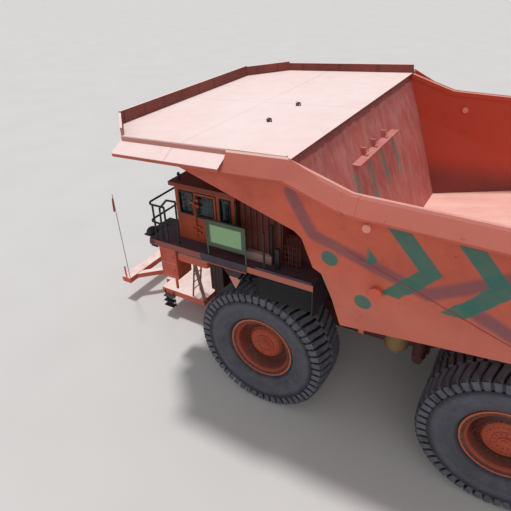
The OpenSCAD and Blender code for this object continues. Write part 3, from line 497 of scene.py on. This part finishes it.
NODE_LOOKS = {
    "frame": underbody_shade_paint, "front_bumper": bumper_paint, "boarding_ladders": ladder_paint, "deck": deck_paint,
    "handrails": rail_paint, "cab_walls": cab_paint, "cab_roof": roof_paint, "cab_glass": window_glass,
    "cab_door": cab_paint, "cab_door_glass": window_glass, "cab_seat": seat_cloth,
    "cab_console": cab_plastic, "engine_block": engine_iron, "radiator": radiator_paint,
    "control_cabinet": cabinet_paint, "grid_box": cabinet_paint, "corner_boxes": body_paint,
    "tanks": tank_paint, "rear_axle": underbody_shade_paint, "struts": bare_steel, "headlamps": lamp_grey,
    "whip_pole": pole_plastic, "whip_flag": flag_cloth, "bed_floor": floor_paint,
    "bed_front_wall": wall_paint, "bed_sides": side_paint, "bed_canopy": canopy_paint,
    "bed_underframe": body_paint, "tie_rod": underbody_shade_paint,
}
LOOKS_BY_WORD = {
    "tyre": tyre_rubber, "rim": rim_paint, "knuckle": underbody_shade_paint, "barrel": underbody_shade_paint,
    "stage": rod_chrome, "rod": rod_chrome,
}
for name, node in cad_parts.items():
    by_word = [look for word, look in LOOKS_BY_WORD.items() if word in name]
    node.data.materials.clear()
    node.data.materials.append(NODE_LOOKS[name] if name in NODE_LOOKS else by_word[0])


# Mesh tools
FLAT = 1e-5


def in_order(bm):
    """A bmesh's points and faces in one fixed order, since its operators can leave them in any.

    A flat face also starts at a fixed corner. A bent one keeps its own, which says how it splits.
    """
    bm.normal_update()
    verts = sorted(bm.verts, key=lambda v: tuple(v.co))
    place = {v: i for i, v in enumerate(verts)}
    faces = []
    for f in bm.faces:
        corners = [place[v] for v in f.verts]
        if all(abs((v.co - f.verts[0].co).dot(f.normal)) < FLAT for v in f.verts):
            first = corners.index(min(corners))
            corners = corners[first:] + corners[:first]
        faces.append(corners)
    return [tuple(v.co) for v in verts], sorted(faces)


def piece(name, bm, material, body, smooth=None):
    """Closes a bmesh as an object at the origin that rides on a body, smooth below an angle in degrees."""
    bmesh.ops.recalc_face_normals(bm, faces=bm.faces)
    mesh = bpy.data.meshes.new(name)
    points, faces = in_order(bm)
    mesh.from_pydata(points, [], faces)
    bm.free()
    mesh.materials.append(material)
    made = bpy.data.objects.new(name, mesh)
    bpy.context.collection.objects.link(made)
    if smooth is not None:
        mesh.shade_smooth()
        with bpy.context.temp_override(object=made, selected_editable_objects=[made]):
            bpy.ops.object.shade_smooth_by_angle(angle=math.radians(smooth))
    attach(made, body)
    return made


def edges_of(verts):
    """The edges at some vertices, each once and always in the same order."""
    return list(dict.fromkeys(e for v in verts for e in v.link_edges))


def faces_of(verts):
    return list(dict.fromkeys(f for v in verts for f in v.link_faces))


def block(bm, low, high, bevel):
    """A box between two corners given ahead of the front axle, with softened edges."""
    low, high = ax(*low), ax(*high)
    verts = bmesh.ops.create_cube(bm, size=1.0)["verts"]
    bmesh.ops.scale(bm, vec=high - low, verts=verts)
    bmesh.ops.translate(bm, vec=(low + high) / 2, verts=verts)
    bmesh.ops.bevel(
        bm, geom=edges_of(verts), offset=bevel, segments=2, profile=0.5, affect="EDGES", material=-1
    )


def blocks(rows):
    """A new bmesh of boxes, each given as its low corner, its high corner and its bevel."""
    bm = bmesh.new()
    for row in rows:
        block(bm, *row)
    return bm


def tube(bm, a, b, radius, sides, end_radius=None):
    """A round bar or a cone between two points given ahead of the front axle."""
    a, b = ax(*a), ax(*b)
    run = b - a
    verts = bmesh.ops.create_cone(
        bm, cap_ends=True, segments=sides, radius1=radius,
        radius2=radius if end_radius is None else end_radius, depth=run.length
    )["verts"]
    turn = Vector((0, 0, 1)).rotation_difference(run).to_matrix().to_4x4()
    bmesh.ops.transform(bm, matrix=Matrix.Translation((a + b) / 2) @ turn, verts=verts)


def bolts(bm, centre, out, radius, count, size, height):
    """Hexagon heads on a circle about an axis along Y."""
    for i in range(count):
        angle = math.tau * i / count
        x, z = centre[0] + radius * math.cos(angle), centre[2] + radius * math.sin(angle)
        tube(bm, (x, centre[1], z), (x, centre[1] + out * height, z), size, 6)


# Tyres
LUGS = 52
TREAD_HALF = 0.61
SHOULDER = 0.62
CROWN_CHAMFER = 0.014
GROOVE_DEPTH = 0.085
FLOOR_R = TYRE_R - GROOVE_DEPTH
# half of the tyre's outline, as radius and place across it
TYRE_WALL = (
    (0.81, 0.40), (0.90, 0.43), (0.975, 0.45), (1.0, 0.49), (1.03, 0.53), (1.08, 0.575), (1.18, 0.615),
    (1.19, 0.623), (1.30, 0.638), (1.42, 0.648), (1.43, 0.655), (1.46, 0.655), (1.47, 0.648), (1.58, 0.64),
    (1.6, 0.648), (1.64, 0.645), (1.65, 0.6), (1.74, 0.575), (1.81, 0.545), (FLOOR_R - 0.02, 0.48),
    (FLOOR_R, 0.3), (FLOOR_R, 0.0),
)
# one tread bar, as place across, its middle around the tyre, and its half width
TREAD_BAR = (
    (0.645, -0.02, 0.077), (0.60, -0.018, 0.078), (0.5, -0.005, 0.08), (0.36, 0.035, 0.082),
    (0.22, 0.08, 0.08), (0.03, 0.11, 0.078),
)


def bar_radius(across, level, on_top):
    """Radius of a point of a tread bar, on its worn crown or on its foot, which sinks into the tyre."""
    shoulder = abs(across) > SHOULDER
    if level < 0.5:
        return FLOOR_R - 0.03 - (0.2 if shoulder else 0.0)
    drop = 0.03 * (abs(across) / TREAD_HALF) ** 2.6 + (0.045 if shoulder else 0.0)
    return TYRE_R - drop - (0.0 if on_top else CROWN_CHAMFER)


def tread_bar(bm, half, angle):
    """A bent outline, raised, softened and wrapped round the crown."""
    before = set(bm.verts)
    ahead = [(middle + width, across) for across, middle, width in TREAD_BAR]
    behind = [(middle - width, across) for across, middle, width in TREAD_BAR]
    outline = [bm.verts.new((around, across * half, 0)) for around, across in ahead + behind[::-1]]
    face = bm.faces.new(outline)
    raised = bmesh.ops.extrude_face_region(bm, geom=[face])["geom"]
    bmesh.ops.translate(bm, vec=(0, 0, 1), verts=[g for g in raised if isinstance(g, bmesh.types.BMVert)])
    top = [g for g in raised if isinstance(g, bmesh.types.BMFace)]
    bmesh.ops.inset_region(bm, faces=top, thickness=CROWN_CHAMFER, depth=0.0)
    crown = {v for f in top for v in f.verts}
    made = [v for v in bm.verts if v not in before]
    for v in made:
        around, across, level = v.co
        radius = bar_radius(across, level, v in crown)
        turn = angle + around / TYRE_R
        v.co = Vector((radius * math.cos(turn), across, radius * math.sin(turn)))
    return made


def tyre_mesh():
    """One tyre about the Y axis, at the origin."""
    bm = bmesh.new()
    axle = {"cent": (0, 0, 0), "axis": (0, 1, 0)}
    outline = list(TYRE_WALL) + [(r, -across) for r, across in reversed(TYRE_WALL[:-1])]
    points = [bm.verts.new((r, across, 0)) for r, across in outline]
    edges = [bm.edges.new(pair) for pair in zip(points, points[1:] + points[:1])]
    bmesh.ops.spin(bm, geom=points + edges, angle=math.tau, steps=LUGS * 2, use_merge=True, **axle)
    for half, angle in ((1, 0.0), (-1, math.pi / LUGS)):
        bar = tread_bar(bm, half, angle)
        bmesh.ops.spin(
            bm, geom=bar + edges_of(bar) + faces_of(bar), angle=math.tau * (LUGS - 1) / LUGS,
            steps=LUGS - 1, use_duplicate=True, **axle
        )
    bmesh.ops.recalc_face_normals(bm, faces=bm.faces)
    mesh = bpy.data.meshes.new("one_tyre")
    bm.to_mesh(mesh)
    bm.free()
    return mesh


one_tyre = tyre_mesh()


def tyre(name, body, centres, node):
    """The treaded tyres of one body, in the place of a plain node."""
    bm = bmesh.new()
    for x, y in centres:
        bm.from_mesh(one_tyre)
        fresh = [v for v in bm.verts if not v.tag]
        bmesh.ops.translate(bm, vec=ax(x, y, AXLE_Z), verts=fresh)
        for v in fresh:
            v.tag = True
    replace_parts(piece(name, bm, tyre_rubber, body, 35), node)


tyre("front_left_tread", "front_left_wheel", [(0, FRONT_WHEEL_Y)], "front_left_tyre")
tyre("front_right_tread", "front_right_wheel", [(0, -FRONT_WHEEL_Y)], "front_right_tyre")
tyre("rear_left_treads", "rear_left_wheels", [(REAR_AXLE, y) for y in REAR_WHEEL_YS], "rear_left_tyres")
tyre("rear_right_treads", "rear_right_wheels", [(REAR_AXLE, -y) for y in REAR_WHEEL_YS], "rear_right_tyres")

# Wheel hubs and bolts
HUB_R = 0.27


def wheel_fittings(name, body, x, y, side, plate, hub):
    """Drum, bolt circles, caps and valve of a wheel, for the depths of its plate and its hub's face."""
    bm = bmesh.new()

    def at(depth, ahead=0.0):
        return (x + ahead, side * (y + depth), AXLE_Z)

    tube(bm, at(plate - 0.01), at(hub - 0.03), 0.5, 56, 0.45)
    bolts(bm, at(hub - 0.035), side, 0.4, 24, 0.016, 0.025)
    bolts(bm, at(plate - 0.01), side, 0.56, 30, 0.018, 0.04)
    bolts(bm, at(hub - 0.01), side, HUB_R * 0.8, 12, 0.018, 0.035)
    bolts(bm, at(0.485), side, 0.90, 36, 0.016, 0.03)
    tube(bm, at(hub - 0.02), at(hub + 0.03), HUB_R * 0.55, 32)
    tube(bm, at(hub + 0.02), at(hub + 0.045), HUB_R * 0.3, 24)
    tube(bm, at(0.30, 0.62), at(0.47, 0.70), 0.014, 8)
    piece(name, bm, rim_paint, body, 40)


for side, word in ((1, "left"), (-1, "right")):
    for end, noun, x, y, plate, hub in (
        ("front", "wheel", 0, FRONT_WHEEL_Y, 0.19, 0.28),
        ("rear", "wheels", REAR_AXLE, REAR_WHEEL_YS[1], 0.33, 0.39),
    ):
        wheel_fittings(f"{end}_{word}_wheel_bolts", f"{end}_{word}_{noun}", x, y, side, plate, hub)

# Bed fittings
bm = bmesh.new()
for y in (0.35, 1.96):
    for x in (0.41, 0.51):
        tube(bm, (x, y, 7.93), (x, y, 8.04), 0.018, 10)
    tube(bm, (0.41, y, 8.04), (0.51, y, 8.04), 0.02, 10)
piece("canopy_lifting_loops", bm, deck_paint, "bed", 40)

bm = bmesh.new()
for side, x, z, radius, out in (
    (1, -3.02, 7.01, 0.085, 0.07), (1, -3.31, 5.55, 0.14, 0.02), (-1, -3.09, 7.05, 0.075, 0.03)
):
    tube(bm, (x, side * (BED_HALF - 0.14), z), (x, side * (BED_HALF + out), z), radius, 28)
# the far side's plug shows on the inner face too
tube(bm, (-3.09, 0.14 - BED_HALF, 7.05), (-3.09, BED_WALL + 0.06 - BED_HALF, 7.05), 0.09, 28, 0.08)
piece("bed_side_bosses", bm, boss_paint, "bed", 40)

# ledge with three brackets across the front wall
ledge_x, rod_x = wall_x(7.1), wall_x(7.25)
bm = blocks([((ledge_x - 0.26, -1.6, 6.98), (ledge_x + 0.02, 1.5, 7.02), 0.008)])
for y in (-0.82, 0.03, 0.75):
    block(bm, (rod_x - 0.16, y - 0.03, 7.02), (rod_x + 0.02, y + 0.03, 7.22), 0.01)
    tube(bm, (rod_x - 0.2, y - 0.09, 7.12), (rod_x - 0.2, y + 0.09, 7.12), 0.02, 8)
piece("front_wall_ledge", bm, wall_paint, "bed", 40)

# weld along the fold of each side
bm = bmesh.new()
for side in (1, -1):
    y = side * (BED_HALF + 0.002)
    tube(bm, (-2.65, y, fold_z(-2.65)), (-6.5, y, fold_z(-6.5)), 0.01, 8)
piece("side_fold_welds", bm, weld_paint, "bed", 60)


def edge_strip(bm, side, stations, section):
    """A thin strip along the bed: a section of (y, height, share of lift) over stations of (x, z, lift)."""
    def points(x, z, lift):
        return [ax(x, side * y, z + height + lift * share) for y, height, share in section]

    face = bm.faces.new([bm.verts.new(point) for point in points(*stations[0])])
    for station in stations[1:]:
        face = bmesh.ops.extrude_discrete_faces(bm, faces=[face])["faces"][0]
        for v, point in zip(face.verts, points(*station)):
            v.co = point


# skirts that carry each rail past the canopy to its wing plate, the plate's rolled edge, and the
# cover of the rail's bend
SKIRT_LINE = [(0.11, canopy_z(0.11), 0.11), (-1.33, canopy_z(-1.33), 0.11), (-2.0, rail_z(-2.0), 0.012)]
SKIRT = ((4.424, 0.0, 1.0), (4.655, -0.3, 0.0), (4.645, -0.315, 0.0), (4.424, -0.02, 0.6))
COVER_LINE = [(x, rail_z(x), 0.006) for x in (-2.5, -2.66, -2.82)]
COVER = ((4.25, 0.0, 1.0), (4.462, 0.0, 1.0), (4.655, -0.29, 1.0), (4.645, -0.31, 0.0), (4.25, -0.02, 0.0))
bm = bmesh.new()
for side in (1, -1):
    edge_strip(bm, side, SKIRT_LINE, SKIRT)
    tube(bm, (3.21, side * 4.655, 7.578), (0.13, side * 4.708, 7.718), 0.045, 12)
    edge_strip(bm, side, COVER_LINE, COVER)
piece("canopy_skirts", bm, side_paint, "bed")

# Board and gate on the walkway
bm = blocks([((0.20, 3.70, 5.12), (1.37, 3.73, 5.86), 0.006)])
for z in (5.13, 5.85):
    tube(bm, (0.20, 3.73, z), (1.37, 3.73, z), 0.018, 8)
for x in (0.21, 1.36):
    tube(bm, (x, 3.73, DECK_TOP), (x, 3.73, 5.86), 0.02, 8)
piece("side_board", bm, board_green, "chassis", 40)
bm = blocks([((0.32, 3.729, 5.24), (1.25, 3.738, 5.74), 0.003)])
piece("side_board_panel", bm, panel_green, "chassis")

bm = bmesh.new()
gate = [(x, 3.6, z) for x, z in ((3.02, 4.81), (3.0, 5.74), (2.72, 6.04), (2.42, 6.06), (2.44, 4.81))]
for a, b in zip(gate, gate[1:]):
    tube(bm, a, b, 0.028, 10)
tube(bm, (3.01, 3.6, 5.3), (2.43, 3.6, 5.3), 0.022, 10)
for corner in gate[1:4]:
    verts = bmesh.ops.create_icosphere(bm, subdivisions=2, radius=0.028)["verts"]
    bmesh.ops.translate(bm, vec=ax(*corner), verts=verts)
piece("cab_gate", bm, rail_paint, "chassis", 40)

# Toe boards, kerbs, posts and small cases
bm = blocks([
    ((0.2, 3.772, 4.6), (1.62, 3.782, 4.84), 0.004),
    ((-1.6, 3.72, DECK_TOP), (-0.05, 3.745, 4.86), 0.004),
])
piece("toe_boards", bm, plate_paint, "chassis")
bm = blocks([
    ((0.2, 3.76, 4.585), (1.62, 3.786, 4.605), 0.003),
    ((2.05, 2.5, 3.66), (3.19, 2.98, 3.95), 0.09),
])
piece("deck_underside_box_and_trim", bm, body_paint, "chassis", 40)
bm = blocks([((-0.34, 3.25, DECK_TOP), (0.44, 3.42, 5.02), 0.012)])
piece("walkway_case", bm, case_paint, "chassis", 40)
bm = blocks([
    ((-0.62, 3.44, DECK_TOP), (-0.5, 3.52, 5.38), 0.01),
    ((0.66, 3.3, DECK_TOP), (0.72, 3.36, 6.3), 0.006),
    ((-0.35, 3.3, DECK_TOP), (-0.29, 3.36, 5.9), 0.006),
])
piece("walkway_posts", bm, lamp_grey, "chassis", 40)

# painted shade: black sheets with bolt heads over the front wheels, under the deck's edges, stand in for the
# deck's shadow on the tyres' tops
bm = bmesh.new()
for side in (1, -1):
    block(bm, (-1.6, side * 3.70, 3.97), (-0.05, side * 3.714, 4.605), 0.004)
    block(bm, (-1.6, side * 3.714, 4.5), (-0.05, side * 3.724, 4.57), 0.003)
    block(bm, (-0.09, side * 3.66, 3.97), (-0.05, side * 3.724, 4.605), 0.004)
    for k in range(8):
        x = -1.5 + 0.2 * k
        tube(bm, (x, side * 3.72, 4.535), (x, side * 3.736, 4.535), 0.016, 6)
piece("front_wheel_shade_sheets", bm, deck_shade_black, "chassis", 40)

# slanting struts from the bumper up to the deck
bm = bmesh.new()
for side in (1, -1):
    tube(bm, (3.53, side * 1.46, 1.095), (3.36, side * 2.3, 4.605), 0.085, 4)
    block(bm, (3.51, side * 1.46 - 0.11, 1.095), (3.7, side * 1.46 + 0.08, 1.12), 0.004)
piece("deck_struts", bm, strut_paint, "chassis", 40)

# pale tip plates on the walkway's gussets
bm = bmesh.new()
for side in (1, -1):
    corners = [bm.verts.new(ax(x, side * 3.785, z)) for x, z in ((0.72, 4.34), (0.38, 4.34), (0.535, 4.03))]
    raised = bmesh.ops.extrude_face_region(bm, geom=[bm.faces.new(corners)])["geom"]
    moved = [g for g in raised if isinstance(g, bmesh.types.BMVert)]
    bmesh.ops.translate(bm, vec=(0, side * -0.03, 0), verts=moved)
piece("gusset_tips", bm, tip_paint, "chassis", 40)

# pipework behind its guard, at the rear of the walkway
bm = bmesh.new()
for k in range(7):
    x = -0.72 - 0.055 * k
    bend = (x - 0.05, 3.3, 5.15 + 0.06 * (k % 4))
    tube(bm, (x, 3.2 + 0.03 * (k % 3), DECK_TOP), bend, 0.018, 8)
    tube(bm, bend, (x + 0.1, 3.1, 5.55), 0.016, 8)
for k in range(5):
    x, z = -0.72 - 0.1 * k, 4.85 + 0.15 * k
    tube(bm, (-0.7, 3.38, z), (-1.12, 3.38, z), 0.008, 6)
    tube(bm, (x, 3.38, DECK_TOP), (x, 3.38, 5.5), 0.008, 6)
piece("guarded_pipes", bm, pipe_paint, "chassis", 40)


# Cab dressing
def window_frame(bm, low_x, high_x, low_z, high_z, face, half):
    """Four bars round a window of the cab's left side."""
    back, front = face - 0.015, face + 0.015
    for z in (low_z, high_z):
        block(bm, (low_x - half, back, z - half), (high_x + half, front, z + half), 0.006)
    for x in (low_x, high_x):
        block(bm, (x - half, back, low_z), (x + half, front, high_z), 0.006)


bm = bmesh.new()
window_frame(bm, 2.08, 2.54, 5.6, 6.24, 3.27, 0.02)
window_frame(bm, 0.91, 1.23, 5.6, 6.24, 3.27, 0.02)
piece("window_seals", bm, lamp_grey, "chassis", 40)
bm = bmesh.new()
window_frame(bm, 1.425, 1.965, 5.575, 6.215, 3.278, 0.03)
piece("door_window_gasket", bm, lamp_grey, "cab_door_body", 40)
bm = bmesh.new()
window_frame(bm, 1.378, 2.008, 5.53, 6.245, 3.282, 0.017)
piece("door_window_frame", bm, door_frame_paint, "cab_door_body", 40)

bm = bmesh.new()
for y in (1.5, 3.1):
    tube(bm, (2.72, y, 6.42), (2.84, y, 6.42), 0.05, 16)
tube(bm, (2.6, 3.12, 6.47), (2.6, 3.12, 6.62), 0.035, 12)
tube(bm, (2.6, 3.12, 6.62), (2.6, 3.12, 6.68), 0.05, 16, 0.03)
tube(bm, (1.0, 1.8, 6.47), (1.0, 1.8, 6.95), 0.012, 8)
for y in (1.9, 2.7):
    tube(bm, (2.69, y, 6.3), (2.7, y + 0.25, 5.8), 0.009, 6)
piece("cab_lamps_and_wipers", bm, lamp_grey, "chassis", 40)


def cushion(low, high, facing):
    """A stuffed pad between two corners, fullest in the middle and drawn in a little at its sides."""
    bm = bmesh.new()
    low, high = ax(*low), ax(*high)
    verts = bmesh.ops.create_cube(bm, size=2.0)["verts"]
    bmesh.ops.subdivide_edges(bm, edges=edges_of(verts), cuts=7, use_grid_fill=True)
    for v in bm.verts:
        u, w = (c for i, c in enumerate(v.co) if i != facing)
        full = 0.45 + 0.55 * (1 - u**4) * (1 - w**4)
        pulled = [u * (0.95 + 0.05 * w * w), w * (0.95 + 0.05 * u * u)]
        pulled.insert(facing, v.co[facing] * full)
        v.co = Vector(pulled)
    bmesh.ops.scale(bm, vec=(high - low) / 2, verts=bm.verts)
    bmesh.ops.translate(bm, vec=(low + high) / 2, verts=bm.verts)
    return bm


bm = cushion((1.42, 2.21, 5.272), (1.9, 2.69, 5.34), 2)
piece("seat_cushion", bm, seat_cloth, "chassis", 60)
bm = cushion((1.47, 2.22, 5.36), (1.54, 2.68, 5.87), 0)
piece("seat_back_cushion", bm, seat_cloth, "chassis", 60)

# flag on the whip, hung from the pole along one edge
FLAG_TOP = ax(6.6538, 1.9462, 4.637)
FLAG_W, FLAG_L = 0.17, 0.48
POLE_GAP = 0.014
bm = bmesh.new()
verts = bmesh.ops.create_grid(bm, x_segments=14, y_segments=24, size=0.5)["verts"]
out, across = Vector((-0.5, 0.866, 0)), Vector((0.866, 0.5, 0))
for v in verts:
    u, w = v.co.x + 0.5, 0.5 - v.co.y
    reach = POLE_GAP + u * (FLAG_W - POLE_GAP)
    sway = 0.011 * u * math.sin(5.5 * u + 3.0 * w)
    v.co = FLAG_TOP + out * reach + across * sway - Vector((0, 0, w * FLAG_L + 0.02 * u * w))
bmesh.ops.solidify(bm, geom=bm.faces[:], thickness=0.003)
flag = piece("whip_flag_cloth", bm, flag_cloth, "chassis", 60)
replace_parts(flag, "whip_flag")

# round black visor at the deck's front corner, cut off level under its middle
bm = bmesh.new()
dome = bmesh.ops.create_uvsphere(bm, u_segments=24, v_segments=12, radius=0.19)["verts"]
bmesh.ops.scale(bm, vec=(0.8, 1.0, 0.75), verts=dome)
bmesh.ops.translate(bm, vec=ax(3.6, 3.4, DECK_TOP), verts=dome)
bmesh.ops.bisect_plane(
    bm, geom=bm.verts[:] + bm.edges[:] + bm.faces[:], plane_co=ax(3.6, 3.4, DECK_TOP - 0.02),
    plane_no=(0, 0, -1), clear_outer=True
)
bmesh.ops.solidify(bm, geom=bm.faces[:], thickness=0.012)
piece("corner_visor", bm, rail_paint, "chassis", 40)
bm = bmesh.new()
tube(bm, (3.405, 3.42, 4.5), (3.62, 3.42, 4.5), 0.1, 20, 0.13)
tube(bm, (3.62, 3.42, 4.5), (3.64, 3.42, 4.5), 0.12, 20)
piece("corner_lamp", bm, lamp_paint, "chassis", 40)

# door lines and handles of the corner boxes
bm = bmesh.new()
for side in (1, -1):
    face = side * 3.0
    for z in (3.05, 3.53):
        corners = [(3.24, face, z), (3.78, face, z), (3.78, face, z + 0.46), (3.24, face, z + 0.46)]
        for i, j in ((0, 1), (3, 2), (0, 3), (1, 2)):
            tube(bm, corners[i], corners[j], 0.01, 6)
        handle = face + side * 0.03
        tube(bm, (3.3, handle, z + 0.2), (3.3, handle, z + 0.3), 0.012, 8)
piece("corner_box_doors", bm, body_paint, "chassis", 50)

# Camera, light and floor
CAMERA_AT = ax(-5.559, 12.542, 11.539)
YAW, PITCH, ROLL = math.radians(-57.42), math.radians(31.43), math.radians(-2.67)
FOCAL_PX, IMAGE_PX, CENTRE_X_PX = 494.5, 511.0, 250.3
SENSOR_MM = 36.0
ahead = Vector((math.cos(PITCH) * math.cos(YAW), math.cos(PITCH) * math.sin(YAW), -math.sin(PITCH)))
right = ahead.cross(Vector((0, 0, 1))).normalized()
up = right.cross(ahead)
right_rolled = right * math.cos(ROLL) + up * math.sin(ROLL)
up_rolled = up * math.cos(ROLL) - right * math.sin(ROLL)
lens = bpy.data.cameras.new("photo_camera")
lens.sensor_width = SENSOR_MM
lens.lens = SENSOR_MM * FOCAL_PX / IMAGE_PX
lens.shift_x = (IMAGE_PX / 2 - CENTRE_X_PX) / IMAGE_PX
lens.clip_end = 2000.0
camera = bpy.data.objects.new("photo_camera", lens)
turn = Matrix((right_rolled, up_rolled, -ahead)).transposed()
camera.matrix_world = Matrix.Translation(CAMERA_AT) @ turn.to_4x4()
bpy.context.collection.objects.link(camera)
bpy.context.scene.camera = camera


def sun(name, travel, strength, spread):
    """A sun whose light travels along a vector, with its spread in degrees."""
    light = bpy.data.lights.new(name, "SUN")
    light.energy = strength
    light.angle = math.radians(spread)
    lamp = bpy.data.objects.new(name, light)
    lamp.rotation_euler = Vector(travel).to_track_quat("-Z", "Y").to_euler()
    bpy.context.collection.objects.link(lamp)


sun("key_sun", (-0.174, 0.093, -1.0), 2.1, 6.0)
sun("fill_sun", (0.35, -0.8, -0.45), 0.55, 60.0)
world = bpy.data.worlds.new("studio")
world.use_nodes = True
sky = world.node_tree.nodes["Background"].inputs
sky["Color"].default_value = (0.93, 0.95, 1.0, 1.0)
sky["Strength"].default_value = 0.42
bpy.context.scene.world = world
bpy.context.scene.view_settings.view_transform = "Standard"

bm = bmesh.new()
bmesh.ops.create_grid(bm, x_segments=1, y_segments=1, size=400.0)
ground_mesh = bpy.data.meshes.new("floor")
bm.to_mesh(ground_mesh)
bm.free()
ground = bpy.data.objects.new("floor", ground_mesh)
ground_shader = Shader("pale_floor")
ground_tone = ground_shader.tint(ground_shader.noise(0.3, 3.0), colour("#c9c6c3"), "#d2cfcc")
ground_mesh.materials.append(ground_shader.finish(ground_tone, 0.9))
bpy.context.collection.objects.link(ground)
